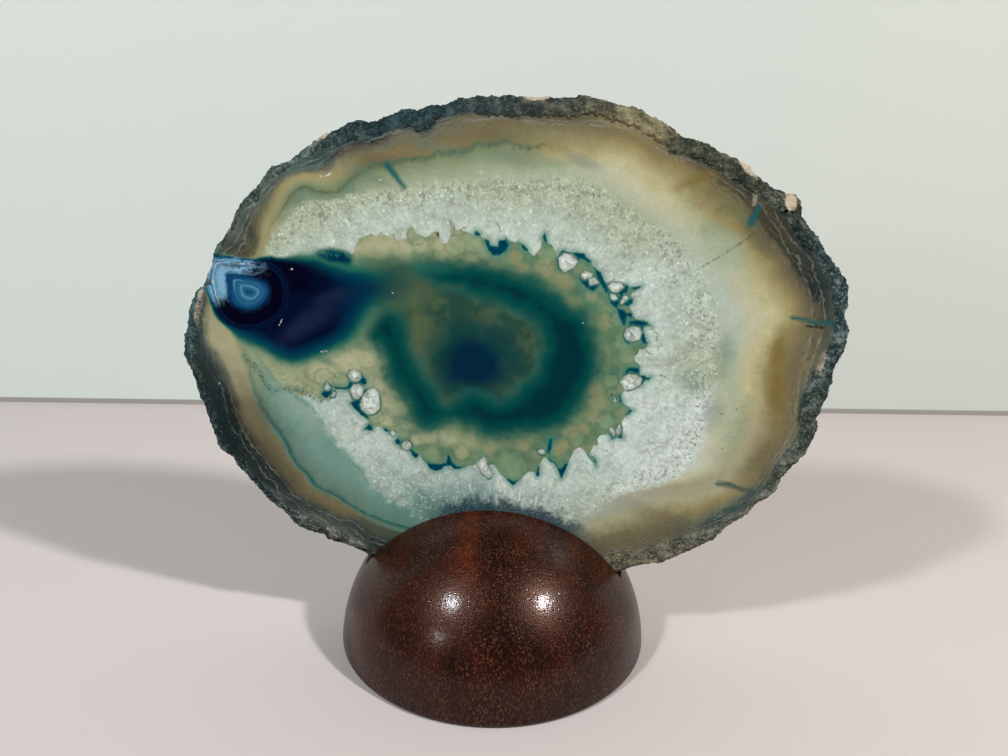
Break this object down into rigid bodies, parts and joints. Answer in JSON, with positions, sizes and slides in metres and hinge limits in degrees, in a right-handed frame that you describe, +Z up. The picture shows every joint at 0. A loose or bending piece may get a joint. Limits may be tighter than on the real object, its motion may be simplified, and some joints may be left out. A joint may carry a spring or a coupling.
{
  "type": "agate slice on a stand",
  "caption": "Polished dyed agate slice with a rough rind, standing upright in the slot of a turned hardwood half-ball stand.",
  "frame": {"origin": "middle of the half-ball stand's flat base, on the surface that it rests on", "axes": "+Z up from the base; +X along the slice's long way, to the right seen from the front; +Y through the slice's thickness, from the front face to the back"},
  "size_m": [0.1279, 0.064, 0.1119],
  "materials": {
    "dyed_agate": "polished faces, rough natural rind at the rim",
    "waxed_hardwood": "satin wax over open pores"
  },
  "bodies": {
    "root": {"agate_slice": "dyed_agate", "dome_stand": "waxed_hardwood"}
  },
  "joints": []
}
